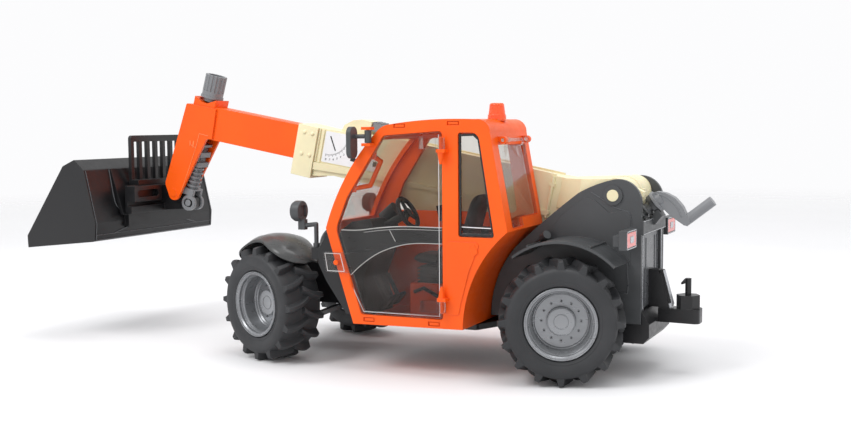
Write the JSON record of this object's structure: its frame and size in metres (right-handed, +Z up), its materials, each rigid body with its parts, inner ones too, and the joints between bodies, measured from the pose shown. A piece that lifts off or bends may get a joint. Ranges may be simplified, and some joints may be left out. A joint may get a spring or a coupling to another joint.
{
  "type": "toy telescopic handler with loader bucket",
  "caption": "Toy telehandler in orange, beige and grey: clear-doored cab, crank-raised telescopic boom, tilting loader bucket, four steered lugged wheels, tow hitch.",
  "frame": {"origin": "middle of the toy's box, on the ground the wheels stand on", "axes": "+X forward towards the bucket, +Y to the driver's left (the cab side), +Z up"},
  "size_m": [0.4336, 0.1486, 0.1744],
  "materials": {
    "orange": "satin",
    "beige": "satin",
    "dark_grey": "satin",
    "black": "satin",
    "tyre": "matt",
    "rim_silver": "metallic satin",
    "mid_grey": "satin",
    "clear": "clear moulded plastic",
    "tail_lens": "glossy",
    "beacon_lens": "translucent",
    "dial_white": "printed"
  },
  "bodies": {
    "chassis": {"chassis_frame": "black", "side_plate_left": "dark_grey", "side_plate_right": "dark_grey", "rear_panel": "dark_grey", "rear_bumper": "black", "tail_light_housings": "dark_grey", "tail_light_lenses": "tail_lens", "hitch_bracket": "black", "engine_hood": "orange", "cab_shell": "orange", "cab_side_frame": "orange", "cab_glazing": "clear", "side_window": "clear", "front_panel": "black", "beacon": "beacon_lens", "seat_base": "black", "seat": "black", "dashboard": "black", "pedals": "black", "control_lever": "black", "boom_pivot_pin": "beige", "front_axle_beam": "black", "rear_axle_beam": "black"},
    "boom": {"outer_boom": "beige", "boom_collar": "beige", "dial_plate": "dial_white"},
    "lock": {"lock_button": "mid_grey"},
    "inner": {"inner_boom": "orange"},
    "knob": {"tilt_knob": "mid_grey"},
    "link": {"tilt_link": "mid_grey"},
    "carrier": {"coupler": "black", "coupler_pins": "black", "load_guard": "black", "bucket": "black"},
    "hand_crank": {"crank": "mid_grey", "worm": "mid_grey"},
    "tow_pin": {"hitch_pin": "black"},
    "door": {"door_panel": "clear", "door_hinges": "clear"},
    "rear_pane": {"rear_window": "clear"},
    "side_mirror": {"mirror": "dark_grey"},
    "work_lamp_left": {"lamp_left": "dark_grey"},
    "work_lamp_right": {"lamp_right": "dark_grey"},
    "wheel_steering": {"steering_wheel": "black"},
    "knuckle_fl": {"knuckle_front_left": "black", "fender_front_left": "dark_grey"},
    "knuckle_fr": {"knuckle_front_right": "black", "fender_front_right": "dark_grey"},
    "knuckle_rl": {"knuckle_rear_left": "black"},
    "knuckle_rr": {"knuckle_rear_right": "black"},
    "wheel_fl": {"tyre_front_left": "tyre", "rim_front_left": "rim_silver"},
    "wheel_fr": {"tyre_front_right": "tyre", "rim_front_right": "rim_silver"},
    "wheel_rl": {"tyre_rear_left": "tyre", "rim_rear_left": "rim_silver"},
    "wheel_rr": {"tyre_rear_right": "tyre", "rim_rear_right": "rim_silver"},
    "track_rod_front": {"tie_rod_front": "black"},
    "track_rod_rear": {"tie_rod_rear": "black"}
  },
  "joints": [
    {"name": "boom_lift", "type": "hinge", "parent": "chassis", "child": "boom", "pos_m": [-0.1665, 0, 0.1001], "axis": [0, -1, 0], "range_deg": [-9, 43]},
    {"name": "crank_turn", "type": "hinge", "parent": "chassis", "child": "hand_crank", "pos_m": [-0.17543, 0, 0.08867], "axis": [-0.788, 0, 0.6157], "range_deg": [-181, 861]},
    {"name": "boom_extend", "type": "slide", "parent": "boom", "child": "inner", "axis": [0.9833, 0, 0.1822], "range_m": [-0.056, 0.024]},
    {"name": "lock_press", "type": "slide", "parent": "boom", "child": "lock", "axis": [0.2113, 0, -0.9774], "range_m": [0, 0.0012], "stiffness_N_per_m": 60},
    {"name": "bucket_tilt", "type": "hinge", "parent": "inner", "child": "carrier", "pos_m": [0.1402, -0.003, 0.0953], "axis": [0, 1, 0], "range_deg": [-12, 40]},
    {"name": "tilt_slide", "type": "slide", "parent": "inner", "child": "link", "axis": [-0.2756, 0, 0.9613], "range_m": [-0.0025, 0.008]},
    {"name": "knob_turn", "type": "hinge", "parent": "inner", "child": "knob", "pos_m": [0.1135, -0.003, 0.1577], "axis": [-0.2756, 0, 0.9613], "range_deg": [-216, 714]},
    {"name": "tow_pin_lift", "type": "slide", "parent": "chassis", "child": "tow_pin", "axis": [0, 0, 1], "range_m": [0, 0.014]},
    {"name": "door_swing", "type": "hinge", "parent": "chassis", "child": "door", "pos_m": [-0.0834, 0.0692, 0.08], "axis": [0, 0, 1], "range_deg": [0, 100]},
    {"name": "rear_pane_swing", "type": "hinge", "parent": "chassis", "child": "rear_pane", "pos_m": [-0.114, 0.035, 0.1306], "axis": [0, 1, 0], "range_deg": [0, 24]},
    {"name": "mirror_fold", "type": "hinge", "parent": "chassis", "child": "side_mirror", "pos_m": [-0.0398, 0.0694, 0.133], "axis": [0, 0, 1], "range_deg": [0, 70]},
    {"name": "lamp_left_swivel", "type": "hinge", "parent": "chassis", "child": "work_lamp_left", "pos_m": [0.0024, 0.0546, 0.07], "axis": [0, 0, 1], "range_deg": [-40, 40]},
    {"name": "lamp_right_swivel", "type": "hinge", "parent": "chassis", "child": "work_lamp_right", "pos_m": [-0.0016, -0.028, 0.07], "axis": [0, 0, 1], "range_deg": [-30, 30]},
    {"name": "steering_turn", "type": "hinge", "parent": "chassis", "child": "wheel_steering", "pos_m": [-0.0488, 0.038, 0.0886], "axis": [0.87, 0, -0.493], "range_deg": [-180, 180]},
    {"name": "steer_front_left", "type": "hinge", "parent": "chassis", "child": "knuckle_fl", "pos_m": [0.0321, 0.0426, 0.034], "axis": [0, 0, 1], "range_deg": [-1, 43]},
    {"name": "steer_front_right", "type": "hinge", "parent": "chassis", "child": "knuckle_fr", "pos_m": [0.0321, -0.0426, 0.034], "axis": [0, 0, 1], "range_deg": [-1.5, 43.5]},
    {"name": "tie_rod_front_pin", "type": "hinge", "parent": "knuckle_fl", "child": "track_rod_front", "pos_m": [0.01674, 0.03886, 0.024], "axis": [0, 0, 1], "range_deg": [-54.51, 1.76]},
    {"name": "wheel_front_left_spin", "type": "hinge", "parent": "knuckle_fl", "child": "wheel_fl", "pos_m": [0.0321, 0.0426, 0.034], "axis": [0.3584, 0.9336, 0], "continuous": true},
    {"name": "wheel_front_right_spin", "type": "hinge", "parent": "knuckle_fr", "child": "wheel_fr", "pos_m": [0.0321, -0.0426, 0.034], "axis": [0.3584, 0.9336, 0], "continuous": true},
    {"name": "steer_rear_left", "type": "hinge", "parent": "chassis", "child": "knuckle_rl", "pos_m": [-0.1424, 0.0417, 0.034], "axis": [0, 0, 1], "range_deg": [-34.8, 1.2]},
    {"name": "steer_rear_right", "type": "hinge", "parent": "chassis", "child": "knuckle_rr", "pos_m": [-0.1424, -0.0417, 0.034], "axis": [0, 0, 1], "range_deg": [-35.3, 1.7]},
    {"name": "tie_rod_rear_pin", "type": "hinge", "parent": "knuckle_rl", "child": "track_rod_rear", "pos_m": [-0.12735, 0.03684, 0.024], "axis": [0, 0, 1], "range_deg": [-2.02, 44.59]},
    {"name": "wheel_rear_left_spin", "type": "hinge", "parent": "knuckle_rl", "child": "wheel_rl", "pos_m": [-0.1424, 0.0417, 0.034], "axis": [-0.289, 0.9573, 0], "continuous": true},
    {"name": "wheel_rear_right_spin", "type": "hinge", "parent": "knuckle_rr", "child": "wheel_rr", "pos_m": [-0.1424, -0.0417, 0.034], "axis": [-0.289, 0.9573, 0], "continuous": true}
  ],
  "couplings": [
    {"joint": "crank_turn", "follows": "boom_lift", "ratio": 20},
    {"joint": "tilt_slide", "follows": "bucket_tilt", "m_per_rad": 0.0113},
    {"joint": "knob_turn", "follows": "bucket_tilt", "ratio": 17.75},
    {"joint": "steer_front_right", "follows": "steer_front_left", "ratio": 1},
    {"joint": "tie_rod_front_pin", "follows": "steer_front_left", "ratio": -1.256},
    {"joint": "steer_rear_right", "follows": "steer_rear_left", "ratio": 1},
    {"joint": "tie_rod_rear_pin", "follows": "steer_rear_left", "ratio": -1.267}
  ]
}
